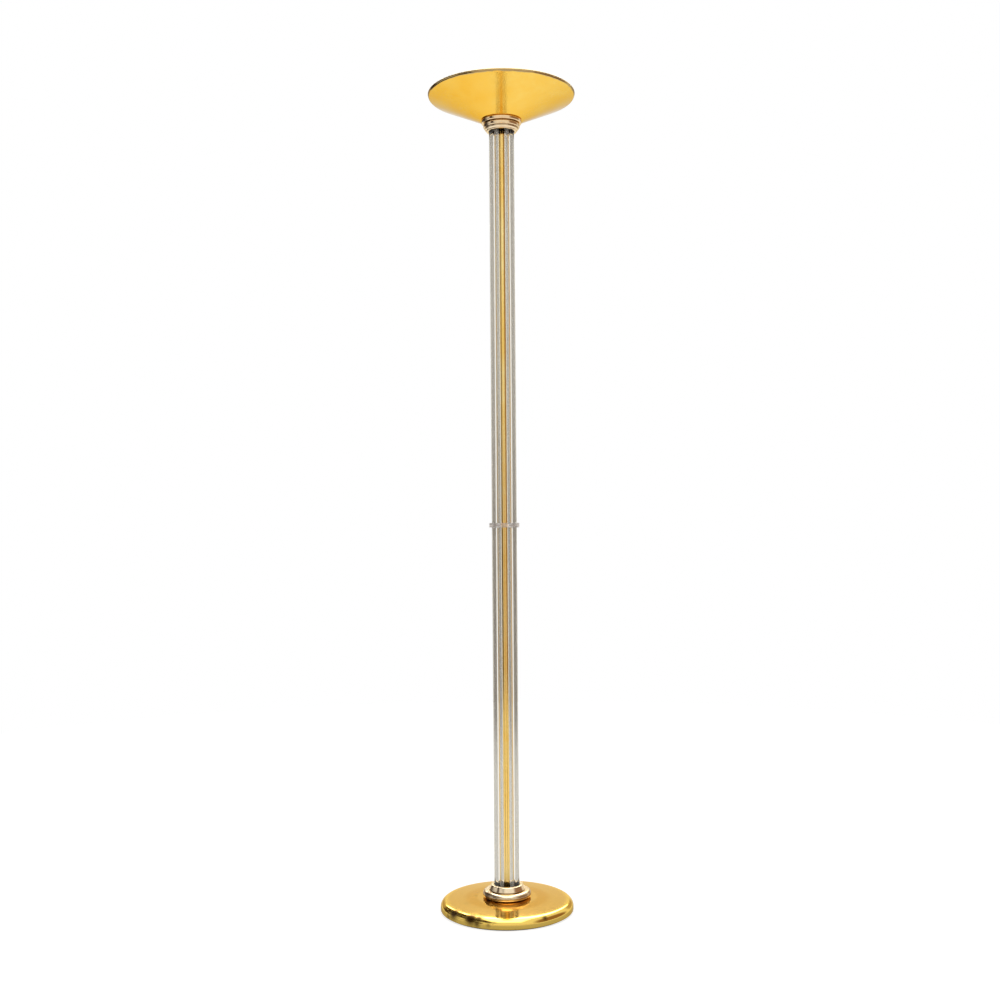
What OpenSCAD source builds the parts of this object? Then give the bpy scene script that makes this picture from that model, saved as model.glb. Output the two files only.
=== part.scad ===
// Uplighter floor lamp. A weighted brass foot carries a thin tube inside a ring of six clear rods,
// a clear disc holds the ring together half way up, and a shallow spun dish closes the top.
// The origin is on the floor under the middle of the foot, +Z is up, the front is -Y, and
// the cord's gland is at the back of the foot. All sizes are in millimetres.

/* [Foot] */
// Outside diameter of the foot
foot_d = 292; // [260:1:330]
// Height of the foot up to the flat that the collar stands on
foot_h = 30; // [29:0.5:36]
// Wall of the spun shell
shell_wall = 1.2; // [0.8:0.1:1.8]
// Rounding of the shell's upper edge
shell_edge_r = 14; // [12:0.5:16]
// Turn-under of the shell's lower edge
shell_lip_r = 3; // [2.5:0.5:4]
// Height of the shell's lower edge above the floor
shell_lift = 2.5; // [1:0.1:3]
// Radius of the crown of the shell's top
crown_r = 1430; // [1200:10:2400]
// Diameter of the flat in the middle of the crown
seat_d = 112; // [110:1:124]
// Thickness of the felt
felt_t = 2.5; // [2:0.1:3]
// Gap between the shell's lower edge and the felt
felt_gap = 4; // [2:0.5:8]
// Thickness of the cast-iron weight
weight_t = 15; // [12:0.5:16]
// Gap between the weight and the inside of the shell's wall
weight_gap = 8.8; // [6:0.1:12]
// Diameter of the weight's raised boss
boss_d = 100; // [70:1:106]
// Diameter of the recess for the nut
recess_d = 48; // [40:1:60]
// Depth of the recess for the nut
recess_h = 9; // [8.5:0.5:10]

/* [Cord gland] */
// Bore of the gland
gland_bore_d = 7.6; // [5:0.1:8]
// Diameter of the gland's nose in the shell
gland_nose_d = 11; // [10:0.1:12]
// Diameter of the gland's flange
gland_flange_d = 15; // [13.5:0.1:15.5]
// Thickness of the gland's flange
gland_flange_t = 2; // [1.5:0.1:3]
// Length of the gland's tail behind the flange
gland_tail_l = 11; // [9:0.5:14]
// Thickness of the gland's nut
gland_nut_t = 3; // [2:0.5:4]
// Width of the cord's groove under the weight
groove_w = 9; // [8:0.5:12]

/* [Threaded pipe] */
// Outside diameter of the threaded pipe
pipe_d = 10; // [8:0.5:11]
// Bore of the threaded pipe
pipe_bore_d = 7; // [5:0.5:7.5]
// Width across the flats of the nuts
nut_af = 17; // [14:0.5:19]
// Thickness of the nuts
nut_t = 5; // [3:0.5:6]
// Diameter of the foot's washer
foot_washer_d = 36; // [26:1:38]
// Thickness of the foot's washer
foot_washer_t = 2; // [1.5:0.1:2.5]
// Pipe left below the foot's nut
pipe_stub = 0.8; // [0.5:0.1:1]
// Length of the bushes inside the tube's ends
bush_l = 20; // [12:1:30]
// Pipe that stands past the bushes
pipe_spare = 6; // [3:1:10]

/* [Column] */
// Length of the six lower rods
lower_rod_l = 808; // [400:1:1000]
// Length of the six upper rods
upper_rod_l = 882; // [400:1:1000]
// Number of rods in the ring
rod_count = 6; // [6:1:6]
// Diameter of the rods
rod_d = 10; // [8:0.5:11]
// Diameter of the circle through the rods' middles
rod_circle_d = 45; // [42:0.5:46]
// Outside diameter of the middle tube
tube_d = 16; // [14:0.5:18]
// Wall of the middle tube
tube_wall = 1; // [0.7:0.1:1.2]
// Length of the coupling inside the tube's joint
coupling_l = 60; // [40:1:100]
// Wall of the coupling
coupling_wall = 1.6; // [1:0.1:2]
// Diameter of the clear disc
disc_d = 66; // [58:1:80]
// Thickness of the clear disc
disc_t = 10; // [9:0.5:14]
// Depth of the disc's sockets
disc_socket = 4; // [2:0.5:4]

/* [Collars] */
// Bore of the collars' cups
cup_bore_d = 57; // [56.6:0.1:60]
// Floor of the lower collar and roof of the upper one
collar_floor_t = 4; // [3:0.5:6]
// Thickness of the plates that hold the rods
plate_t = 10; // [8.5:0.5:12]
// Depth of the plates' sockets
socket_depth = 7; // [5:0.5:7.5]
// Thickness of the pads at the rods' ends
pad_t = 1; // [0.5:0.1:1.5]
// Diameter of the lower collar's half-round ring
ring_d = 106; // [102:1:110]
// Height of the half-round ring
ring_h = 16; // [12:0.5:17]
// Diameter of the groove above the half-round ring
waist_d = 74; // [68:1:80]
// Height of the groove above the half-round ring
waist_h = 1.5; // [1:0.1:3]
// Diameter of the lower cup at its foot
cup_foot_d = 79; // [74:1:86]
// Diameter of the lower cup at its lip
cup_lip_d = 70; // [66:1:73]
// Height of the lower cup above the groove
cup_h = 10.5; // [8:0.5:16]
// Rounding of the cups' lips
lip_r = 2; // [1:0.1:2.5]
// Diameter of the upper collar's large ring
top_ring_d = 88.6; // [85:0.1:92]
// Height of the upper collar's large ring
top_ring_h = 8; // [6:0.5:10]
// Diameter of the upper collar's second ring
mid_ring_d = 80; // [76:0.5:84]
// Height of the upper collar's second ring
mid_ring_h = 8; // [7:0.5:11]
// Rounding of both rings
ring_round = 2.5; // [1:0.1:2.9]
// Diameter of the grooves beside the second ring
groove_d = 72; // [66:0.5:75]
// Height of the groove between the rings
groove_h = 1.5; // [1:0.1:3]
// Height of the groove above the upper cup's lip
lip_groove_h = 3; // [1:0.1:4]
// Diameter of the upper cup's lip
top_lip_d = 67; // [64:0.5:70]
// Diameter of the upper cup where its lip begins
top_lip_foot_d = 74; // [72:0.5:76]
// Height of the upper cup's lip
top_lip_h = 5; // [4:0.5:8]

/* [Dish] */
// Diameter of the dish over its rim
dish_d = 323; // [280:1:360]
// Height of the dish
dish_h = 57.6; // [50:0.1:90]
// Diameter of the dish's flat floor
dish_floor_d = 92; // [88:1:100]
// Wall of the dish
dish_wall = 1.4; // [1:0.1:2]
// Bend between the floor and the cone
dish_bend_r = 6; // [4:0.5:10]
// Bend between the cone and the rim
dish_shoulder_r = 4; // [3:0.5:6]
// Diameter of the rolled bead on the rim
bead_d = 3.6; // [3.2:0.1:5]
// How far the bead stands out from the wall
bead_proud = 0.6; // [0.3:0.1:1]
// Diameter of the dish's washer
dish_washer_d = 36; // [30:1:60]
// Thickness of the dish's washer
dish_washer_t = 1.5; // [1:0.1:2.5]

/* [Lampholder] */
// Outside diameter of the lampholder
holder_d = 40; // [38:0.5:46]
// Wall of the lampholder's metal parts
holder_wall = 1.2; // [0.8:0.1:1.4]
// Diameter of the cap's threaded neck
neck_d = 16; // [14:0.5:20]
// Height of the cap's threaded neck
neck_h = 8; // [6:0.5:10]
// Height of the cap above its neck
cap_h = 12; // [11:0.5:16]
// Rounding of the cap's shoulder
cap_round = 8; // [5:0.5:10]
// Thickness of the porcelain insert's floor
insert_t = 8; // [7:0.5:10]
// Diameter of the well in the insert
well_d = 14; // [13:0.5:15]
// Depth of the well in the insert
well_h = 5; // [4.5:0.1:6]
// Inside diameter of the screw shell
screw_bore_d = 26.7; // [26.6:0.1:27.2]
// How far the insert's wall ends below the screw shell's mouth
insert_low = 2; // [1:0.5:6]
// Wall of the screw shell
screw_wall = 0.6; // [0.4:0.1:0.8]
// Height of the screw shell
screw_h = 22; // [18:0.5:26]
// Width of the contact's leaf
leaf_w = 4; // [3:0.5:5]
// Thickness of the contact's leaf
leaf_t = 0.5; // [0.4:0.1:0.6]

/* [Bulb] */
// Diameter of the bulb's screw cap
bulb_cap_d = 26.2; // [25.8:0.1:26.3]
// Height of the bulb's screw cap
bulb_cap_h = 18; // [16:0.5:20]
// Height of the black insulator under the cap
bulb_base_h = 4; // [3:0.5:5]
// Diameter of the bulb's middle contact
bulb_tip_d = 9; // [8:0.5:10]
// Thickness of the bulb's middle contact
bulb_tip_t = 1.2; // [1:0.1:1.6]
// Diameter of the bulb's ball
ball_d = 45; // [40:1:60]
// Height of the ball's middle above the screw cap
ball_rise = 21; // [19:0.5:30]
// Wall of the bulb's glass
glass_wall = 0.8; // [0.6:0.1:1.2]

/* [Fits] */
// Radial gap between a rod and its socket
rod_gap = 0.2; // [0.1:0.05:0.4]
// Radial gap between the tube and what it passes through or holds
tube_gap = 0.1; // [0.05:0.05:0.2]
// Radial gap of threads and screws
thread_gap = 0.1; // [0.05:0.05:0.2]
// Gap left past the end of a rod
end_gap = 0.2; // [0.1:0.05:0.5]
// Gap between the contact's leaf and what it moves near
leaf_gap = 0.3; // [0.2:0.05:0.4]
// Gap around parts that only lie near each other
part_gap = 0.3; // [0.2:0.05:0.5]

/* [Hidden] */
$fn = 128;
crown_fn = 900;
clear = 1;                          // how far a cut runs past the face it opens

BRASS = [0.80, 0.62, 0.28];
GOLD = [0.92, 0.72, 0.30];
GLASS = [0.85, 0.90, 0.92, 0.45];
IRON = [0.24, 0.24, 0.25];
STEEL = [0.70, 0.71, 0.72];
FELT = [0.12, 0.20, 0.14];
BLACK = [0.08, 0.08, 0.08];
PORCELAIN = [0.95, 0.94, 0.90];
OPAL = [0.97, 0.97, 0.95];

// Foot
foot_r = foot_d / 2;
crown_z = foot_h - sqrt(pow(crown_r, 2) - pow(seat_d / 2, 2));
edge_x = foot_r - shell_edge_r;
edge_z = crown_z + sqrt(pow(crown_r - shell_edge_r, 2) - pow(edge_x, 2));
edge_lean = asin(edge_x / (crown_r - shell_edge_r));
lip_x = foot_r - shell_lip_r;
lip_z = shell_lift + shell_lip_r;
seat_z = foot_h - shell_wall;
weight_r = foot_r - shell_wall - weight_gap;
weight_top = felt_t + weight_t;
pipe_r = pipe_d / 2;
pipe_hole_r = pipe_r + thread_gap;
foot_washer_z = felt_t + recess_h - foot_washer_t;
foot_nut_z = foot_washer_z - nut_t;
foot_pipe_z = foot_nut_z - pipe_stub;

// Gland
flange_r = gland_flange_d / 2;
gland_z = felt_t + part_gap + flange_r;
gland_rise = gland_z + flange_r - edge_z;
wall_reach = edge_x + sqrt(pow(shell_edge_r - shell_wall, 2) - pow(gland_rise, 2));
gland_y = min(wall_reach, lip_x) - part_gap;
gland_len = foot_r - gland_y + gland_flange_t + gland_tail_l;
notch_w = gland_flange_d + 4;
notch_y = gland_y - gland_flange_t - gland_tail_l - 2;

// Column, from the foot to the dish
plate_z = foot_h + collar_floor_t;
cup_top = foot_h + ring_h + waist_h + cup_h;
lower_rod_z = plate_z + plate_t - socket_depth + pad_t;
disc_z = lower_rod_z + lower_rod_l + end_gap - disc_socket;
joint_z = disc_z + disc_t / 2;
upper_rod_z = disc_z + disc_t - disc_socket;
upper_pad_z = upper_rod_z + upper_rod_l;
upper_plate_z = upper_pad_z + pad_t + end_gap - socket_depth;
roof_z = upper_plate_z + plate_t;
dish_z = roof_z + collar_floor_t;
rod_r = rod_d / 2;
tube_r = tube_d / 2;
tube_bore_r = tube_r - tube_wall;
inner_r = tube_bore_r - tube_gap;
plate_r = cup_bore_d / 2 - part_gap / 2;
rod_turn = 360 / rod_count;

// Upper collar, from the dish down to its lip
top_ring_z = dish_z - top_ring_h;
mid_ring_z = top_ring_z - groove_h - mid_ring_h;
top_lip_z = mid_ring_z - lip_groove_h - top_lip_h;

// Dish: two bends joined by a cone that is tangent to both
rim_r = dish_d / 2;
bead_r = bead_d / 2;
wall_x = rim_r - bead_proud;
floor_r = dish_floor_d / 2;
shoulder_x = wall_x - dish_shoulder_r;
shoulder_z = dish_h - bead_d;
cone_dx = shoulder_x - floor_r;
cone_dz = shoulder_z - dish_bend_r;
cone_lean = asin((dish_shoulder_r - dish_bend_r) / norm([cone_dx, cone_dz]));
cone_angle = atan2(cone_dz, cone_dx) - cone_lean;
dish_top = dish_z + dish_h;

// Lampholder
dish_washer_z = dish_z + dish_wall;
dish_nut_z = dish_washer_z + dish_washer_t;
holder_z = dish_nut_z + nut_t;
holder_r = holder_d / 2;
cap_top = holder_z + neck_h + cap_h;
insert_z = holder_z + neck_h + holder_wall;
insert_r = holder_r - holder_wall - part_gap;
shell_z = insert_z + insert_t;
screw_r = screw_bore_d / 2;
screw_out_r = screw_r + screw_wall;
shell_top = shell_z + screw_h;
well_z = shell_z - well_h;

// Contact: a leaf folded at its heel, its tip just above the well
heel_x = -well_d / 2 + 1.4;
heel_z = well_z + leaf_t + leaf_gap;
tip_z = shell_z + screw_wall + 0.4;
tip_l = 3;

// Bulb
bulb_tip_z = tip_z + leaf_t + leaf_gap;
bulb_base_z = bulb_tip_z + bulb_tip_t;
bulb_cap_z = bulb_base_z + bulb_base_h;
ball_z = bulb_cap_z + bulb_cap_h + ball_rise;
bulb_neck_r = bulb_cap_d / 2 - 1.2;
neck_meet = sqrt(pow(ball_d / 2, 2) - pow(bulb_neck_r, 2));

// ---- shapes that several pieces share ----

// A turned ring with plain sides
module ring(r_out, r_in, z, h) {
    translate([0, 0, z]) difference() {
        cylinder(r = r_out, h = h);
        translate([0, 0, -clear]) cylinder(r = r_in, h = h + 2 * clear);
    }
}

// Half section of a solid bead with rounded corners, its foot at height z
module bead_section(r, z, h, round) {
    translate([0, z]) {
        square([r - round, h]);
        translate([0, round]) square([r, h - 2 * round]);
        translate([r - round, round]) circle(r = round);
        translate([r - round, h - round]) circle(r = round);
    }
}

// Half section of a bead whose whole edge is one half round
module half_round_section(r, z, h) {
    translate([0, z]) {
        square([r - h / 2, h]);
        translate([r - h / 2, h / 2]) circle(r = h / 2);
    }
}

// Copies a shape to each rod's place, two of them side by side at the front
module at_rods() {
    for (i = [1 : rod_count]) at_rod(i) children();
}

module at_rod(i) {
    rotate([0, 0, rod_turn * (i - 0.5) - 90]) translate([rod_circle_d / 2, 0, 0]) children();
}

module nut(z, af, t, hole_r) {
    translate([0, 0, z]) difference() {
        cylinder(r = af / 2 / cos(30), h = t, $fn = 6);
        translate([0, 0, -clear]) cylinder(r = hole_r, h = t + 2 * clear);
    }
}

// Half section of a solid cup whose lower corner is rounded
module cup_section(r, h, round) {
    intersection() {
        square([r, h]);
        union() {
            square([r - round, h]);
            translate([0, round]) square([r, h]);
            translate([r - round, round]) circle(r = round);
        }
    }
}

// ---- foot ----

// Half section of the foot, every surface set in by the same distance
module foot_section(inset) {
    tangent_x = edge_x + (shell_edge_r - inset) * sin(edge_lean);
    low = shell_lift + inset;
    intersection() {
        translate([0, low]) square([foot_r, foot_h - inset - low]);
        union() {
            intersection() {
                square([tangent_x, foot_h]);
                translate([0, crown_z]) circle(r = crown_r - inset, $fn = crown_fn);
            }
            translate([edge_x, edge_z]) circle(r = shell_edge_r - inset);
            translate([0, lip_z]) square([foot_r - inset, edge_z - lip_z]);
            square([lip_x, edge_z]);
            translate([lip_x, lip_z]) circle(r = shell_lip_r - inset);
        }
    }
}

module felt_pad() {
    color(FELT) cylinder(r = lip_x - felt_gap, h = felt_t);
}

module base_weight() {
    color(IRON) difference() {
        union() {
            translate([0, 0, felt_t]) cylinder(r = weight_r, h = weight_t);
            translate([0, 0, felt_t]) cylinder(r = boss_d / 2, h = seat_z - felt_t);
        }
        translate([0, 0, -clear]) cylinder(r = pipe_hole_r, h = foot_h + clear);
        translate([0, 0, felt_t - clear]) cylinder(r = recess_d / 2, h = recess_h + clear);
        translate([-groove_w / 2, 0, felt_t - clear]) cube([groove_w, foot_r, recess_h + clear]);
        translate([-notch_w / 2, notch_y, 0]) cube([notch_w, foot_r, foot_h]);
    }
}

module base_shell() {
    color(GOLD) difference() {
        rotate_extrude() difference() {
            foot_section(0);
            foot_section(shell_wall);
            square([lip_x, shell_lift + shell_wall]);
        }
        cylinder(r = pipe_hole_r, h = foot_h + clear);
        translate([0, edge_x, gland_z]) rotate([-90, 0, 0])
            cylinder(r = gland_nose_d / 2 + thread_gap, h = foot_r);
    }
}

module base_washer() {
    color(STEEL) ring(foot_washer_d / 2, pipe_hole_r, foot_washer_z, foot_washer_t);
}

module base_nut() {
    color(STEEL) nut(foot_nut_z, nut_af, nut_t, pipe_hole_r);
}

module base_pipe() {
    top = plate_z + bush_l + pipe_spare;
    color(STEEL) ring(pipe_r, pipe_bore_d / 2, foot_pipe_z, top - foot_pipe_z);
}

module cable_gland() {
    color(BLACK) translate([0, gland_y, gland_z]) rotate([-90, 0, 0]) difference() {
        union() {
            cylinder(r = gland_nose_d / 2, h = foot_r - gland_y - part_gap);
            translate([0, 0, -gland_flange_t]) cylinder(r = flange_r, h = gland_flange_t);
            translate([0, 0, -gland_flange_t - gland_tail_l])
                cylinder(r = gland_nose_d / 2, h = gland_tail_l);
        }
        translate([0, 0, -foot_r]) cylinder(r = gland_bore_d / 2, h = 2 * foot_r);
    }
}

module gland_nut() {
    color(BLACK) translate([0, gland_y - gland_flange_t, gland_z]) rotate([90, 0, 0])
        nut(0, gland_flange_d * cos(30), gland_nut_t, gland_nose_d / 2 + thread_gap);
}

// ---- column ----

module lower_collar() {
    waist_z = foot_h + ring_h;
    cup_z = waist_z + waist_h;
    lip_x2 = cup_lip_d / 2 - lip_r;
    color(BRASS) rotate_extrude() difference() {
        union() {
            half_round_section(ring_d / 2, foot_h, ring_h);
            translate([0, waist_z]) square([waist_d / 2, waist_h]);
            polygon([[0, cup_z], [cup_foot_d / 2, cup_z], [cup_lip_d / 2, cup_top - lip_r],
                     [lip_x2, cup_top], [0, cup_top]]);
            translate([lip_x2, cup_top - lip_r]) circle(r = lip_r);
        }
        square([pipe_hole_r, cup_top]);
        translate([0, plate_z]) square([cup_bore_d / 2, cup_top]);
        translate([-foot_d, 0]) square([foot_d, foot_d]);
    }
}

// A disc with a middle hole and six blind sockets that open on its upper face
module rod_plate() {
    difference() {
        cylinder(r = plate_r, h = plate_t);
        translate([0, 0, -clear]) cylinder(r = tube_r + tube_gap, h = plate_t + 2 * clear);
        at_rods() translate([0, 0, plate_t - socket_depth])
            cylinder(r = rod_r + rod_gap, h = socket_depth + clear);
    }
}

module lower_rod_plate() {
    color(BRASS) translate([0, 0, plate_z]) rod_plate();
}

module lower_rod_pads() {
    color(BLACK) at_rods() translate([0, 0, lower_rod_z - pad_t]) cylinder(r = rod_r, h = pad_t);
}

module lower_tube_bush() {
    color(BRASS) ring(inner_r, pipe_hole_r, plate_z, bush_l);
}

module lower_tube() {
    color(GOLD) ring(tube_r, tube_bore_r, plate_z, joint_z - plate_z);
}

module tube_coupling() {
    color(BRASS) ring(inner_r, inner_r - coupling_wall, joint_z - coupling_l / 2, coupling_l);
}

module lower_rod(i) {
    color(GLASS) at_rod(i) translate([0, 0, lower_rod_z]) cylinder(r = rod_r, h = lower_rod_l);
}

module spacer_disc() {
    socket_r = rod_r + rod_gap;
    color(GLASS) translate([0, 0, disc_z]) difference() {
        cylinder(r = disc_d / 2, h = disc_t);
        translate([0, 0, -clear]) cylinder(r = tube_r + tube_gap, h = disc_t + 2 * clear);
        at_rods() translate([0, 0, -clear]) cylinder(r = socket_r, h = disc_socket + clear);
        at_rods() translate([0, 0, disc_t - disc_socket])
            cylinder(r = socket_r, h = disc_socket + clear);
    }
}

module upper_rod(i) {
    color(GLASS) at_rod(i) translate([0, 0, upper_rod_z]) cylinder(r = rod_r, h = upper_rod_l);
}

module upper_tube() {
    color(GOLD) ring(tube_r, tube_bore_r, joint_z, roof_z - joint_z);
}

module upper_tube_bush() {
    color(BRASS) ring(inner_r, pipe_hole_r, roof_z - bush_l, bush_l);
}

module upper_rod_plate() {
    color(BRASS) translate([0, 0, roof_z]) mirror([0, 0, 1]) rod_plate();
}

module upper_rod_pads() {
    color(BLACK) at_rods() translate([0, 0, upper_pad_z]) cylinder(r = rod_r, h = pad_t);
}

module upper_collar() {
    lip_x2 = top_lip_d / 2 - lip_r;
    color(BRASS) rotate_extrude() difference() {
        union() {
            bead_section(top_ring_d / 2, top_ring_z, top_ring_h, ring_round);
            translate([0, top_lip_z + top_lip_h])
                square([groove_d / 2, top_ring_z - top_lip_z - top_lip_h]);
            bead_section(mid_ring_d / 2, mid_ring_z, mid_ring_h, ring_round);
            polygon([[0, top_lip_z], [lip_x2, top_lip_z], [top_lip_d / 2, top_lip_z + lip_r],
                     [top_lip_foot_d / 2, top_lip_z + top_lip_h], [0, top_lip_z + top_lip_h]]);
            translate([lip_x2, top_lip_z + lip_r]) circle(r = lip_r);
        }
        square([pipe_hole_r, 2 * dish_z]);
        square([cup_bore_d / 2, roof_z]);
        translate([-foot_d, 0]) square([foot_d, 2 * dish_z]);
    }
}

module upper_pipe() {
    low = roof_z - bush_l - pipe_spare;
    high = holder_z + neck_h;
    color(STEEL) ring(pipe_r, pipe_bore_d / 2, low, high - low);
}

// ---- dish and lampholder ----

// Half section of the filled dish up to a given height, every surface set in
module dish_section(inset, top) {
    out = [sin(cone_angle), -cos(cone_angle)];
    low = [floor_r, dish_bend_r];
    high = [shoulder_x, shoulder_z];
    intersection() {
        translate([0, inset]) square([rim_r, top - inset]);
        union() {
            polygon([[0, inset], [floor_r, inset], low + (dish_bend_r - inset) * out,
                     high + (dish_shoulder_r - inset) * out, [wall_x - inset, shoulder_z],
                     [wall_x - inset, top], [0, top]]);
            translate(low) circle(r = dish_bend_r - inset);
            translate(high) circle(r = dish_shoulder_r - inset);
        }
    }
}

module dish() {
    color(GOLD) translate([0, 0, dish_z]) rotate_extrude() {
        difference() {
            dish_section(0, dish_h - bead_r);
            dish_section(dish_wall, dish_h);
            square([pipe_hole_r, dish_h]);
        }
        translate([rim_r - bead_r, dish_h - bead_r]) circle(r = bead_r);
    }
}

module dish_washer() {
    color(BRASS) ring(dish_washer_d / 2, pipe_hole_r, dish_washer_z, dish_washer_t);
}

module dish_nut() {
    color(BRASS) nut(dish_nut_z, nut_af, nut_t, pipe_hole_r);
}

module holder_cap() {
    color(BRASS) translate([0, 0, holder_z]) rotate_extrude() difference() {
        union() {
            square([neck_d / 2, neck_h + holder_wall]);
            translate([0, neck_h]) cup_section(holder_r, cap_h, cap_round);
        }
        translate([0, neck_h + holder_wall])
            cup_section(holder_r - holder_wall, cap_h, cap_round - holder_wall);
        square([pipe_hole_r, neck_h + cap_h]);
    }
}

module holder_insert() {
    color(PORCELAIN) translate([0, 0, insert_z]) difference() {
        rotate_extrude() cup_section(insert_r, insert_t + screw_h - insert_low, cap_round);
        translate([0, 0, insert_t]) cylinder(r = screw_out_r + part_gap, h = screw_h);
        translate([0, 0, insert_t - well_h]) cylinder(r = well_d / 2, h = screw_h);
        translate([0, 0, -clear]) cylinder(r = pipe_bore_d / 2, h = 2 * insert_t - well_h);
    }
}

module holder_skirt() {
    skirt_h = shell_top - cap_top + 1;
    color(BRASS) translate([0, 0, cap_top]) rotate_extrude() {
        translate([holder_r - holder_wall, 0]) square([holder_wall, skirt_h]);
        translate([holder_r - holder_wall / 2, skirt_h]) circle(r = holder_wall);
    }
}

module screw_shell() {
    color(BRASS) {
        difference() {
            translate([0, 0, shell_z]) cylinder(r = screw_out_r, h = screw_h);
            translate([0, 0, shell_z + screw_wall]) cylinder(r = screw_r, h = screw_h);
            translate([0, 0, shell_z - clear]) cylinder(r = well_d / 2, h = screw_h);
        }
    }
}

module contact_foot() {
    color(BRASS) translate([heel_x, -leaf_w / 2, well_z]) cube([leaf_w + 4, leaf_w, leaf_t]);
}

// The leaf seen from the side: a slope from its heel and a flat tip under the bulb
module contact_leaf() {
    color(BRASS) translate([0, leaf_w / 2, 0]) rotate([90, 0, 0]) linear_extrude(height = leaf_w)
        polygon([[heel_x, heel_z], [heel_x + leaf_t, heel_z], [-tip_l / 2 + leaf_t / 2, tip_z],
                 [tip_l / 2, tip_z], [tip_l / 2, tip_z + leaf_t], [-tip_l / 2, tip_z + leaf_t],
                 [heel_x, heel_z + leaf_t]]);
}

// ---- bulb ----

module bulb_tip() {
    color(STEEL) translate([0, 0, bulb_tip_z]) cylinder(r = bulb_tip_d / 2, h = bulb_tip_t);
}

module bulb_insulator() {
    color(BLACK) translate([0, 0, bulb_base_z])
        cylinder(r1 = bulb_tip_d / 2, r2 = bulb_neck_r, h = bulb_base_h);
}

module bulb_cap() {
    color(STEEL) ring(bulb_cap_d / 2, bulb_neck_r, bulb_cap_z, bulb_cap_h);
}

module bulb_glass() {
    neck_h2 = ball_z - neck_meet - bulb_cap_z;
    color(OPAL) difference() {
        union() {
            translate([0, 0, ball_z]) sphere(r = ball_d / 2);
            translate([0, 0, bulb_cap_z]) cylinder(r = bulb_neck_r, h = neck_h2 + clear);
        }
        translate([0, 0, ball_z]) sphere(r = ball_d / 2 - glass_wall);
        translate([0, 0, bulb_cap_z + glass_wall])
            cylinder(r = bulb_neck_r - glass_wall, h = neck_h2 + 2 * clear);
    }
}

felt_pad();
base_weight();
base_shell();
base_washer();
base_nut();
base_pipe();
cable_gland();
gland_nut();
lower_collar();
lower_rod_plate();
lower_rod_pads();
lower_tube_bush();
lower_tube();
tube_coupling();
spacer_disc();
upper_tube();
upper_tube_bush();
upper_rod_plate();
upper_rod_pads();
upper_collar();
upper_pipe();
dish();
dish_washer();
dish_nut();
holder_cap();
holder_insert();
holder_skirt();
screw_shell();
contact_foot();
contact_leaf();
bulb_tip();
bulb_insulator();
bulb_cap();
bulb_glass();
for (i = [1 : rod_count]) {
    lower_rod(i);
    upper_rod(i);
}
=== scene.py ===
"""A brass uplighter floor lamp: a weighted foot, clear rods round a thin tube, a spun dish.

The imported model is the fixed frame: metres, the floor at z = 0, the front towards -Y. The sections
follow the lamp as it is put together, from the felt under the foot to the bulb in the dish.
"""
import math

import bmesh
import bpy
from mathutils import Matrix, Vector


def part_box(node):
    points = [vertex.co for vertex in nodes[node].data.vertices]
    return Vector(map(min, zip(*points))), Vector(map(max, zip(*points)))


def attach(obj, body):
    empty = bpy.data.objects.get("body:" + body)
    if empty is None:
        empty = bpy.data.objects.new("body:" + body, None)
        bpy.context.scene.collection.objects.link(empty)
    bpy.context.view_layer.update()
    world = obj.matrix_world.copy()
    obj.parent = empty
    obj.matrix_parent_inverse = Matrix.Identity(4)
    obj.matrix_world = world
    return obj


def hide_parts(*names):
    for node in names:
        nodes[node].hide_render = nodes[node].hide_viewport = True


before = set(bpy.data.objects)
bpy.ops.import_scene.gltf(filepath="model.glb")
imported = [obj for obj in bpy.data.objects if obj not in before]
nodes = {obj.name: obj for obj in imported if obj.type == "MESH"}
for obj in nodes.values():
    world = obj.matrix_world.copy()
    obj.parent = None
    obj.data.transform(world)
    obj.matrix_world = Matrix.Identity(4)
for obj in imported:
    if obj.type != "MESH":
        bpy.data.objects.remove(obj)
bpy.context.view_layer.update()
scene = bpy.context.scene
scene.view_settings.view_transform = "Standard"
MM = 0.001

# ---- The viewpoint -----------------------------------------------------------------------------
# A level camera a little below the middle of the lamp, 2.7 m in front of it. The lamp leans a
# fraction of a degree in the picture, which is the camera's own roll.
EYE_BACK, EYE_HEIGHT, EYE_ASIDE = 2.711, 0.8586, -0.0095
LENS_MM, ROLL_DEG, RISE = 44.3, 0.42, 0.020
eye = bpy.data.objects.new("eye", bpy.data.cameras.new("eye"))
eye.data.lens, eye.data.sensor_width, eye.data.shift_y = LENS_MM, 36.0, RISE
eye.rotation_euler = (math.radians(90), math.radians(ROLL_DEG), 0)
eye.location = (EYE_ASIDE, -EYE_BACK, EYE_HEIGHT)
scene.collection.objects.link(eye)
scene.camera = eye


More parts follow.
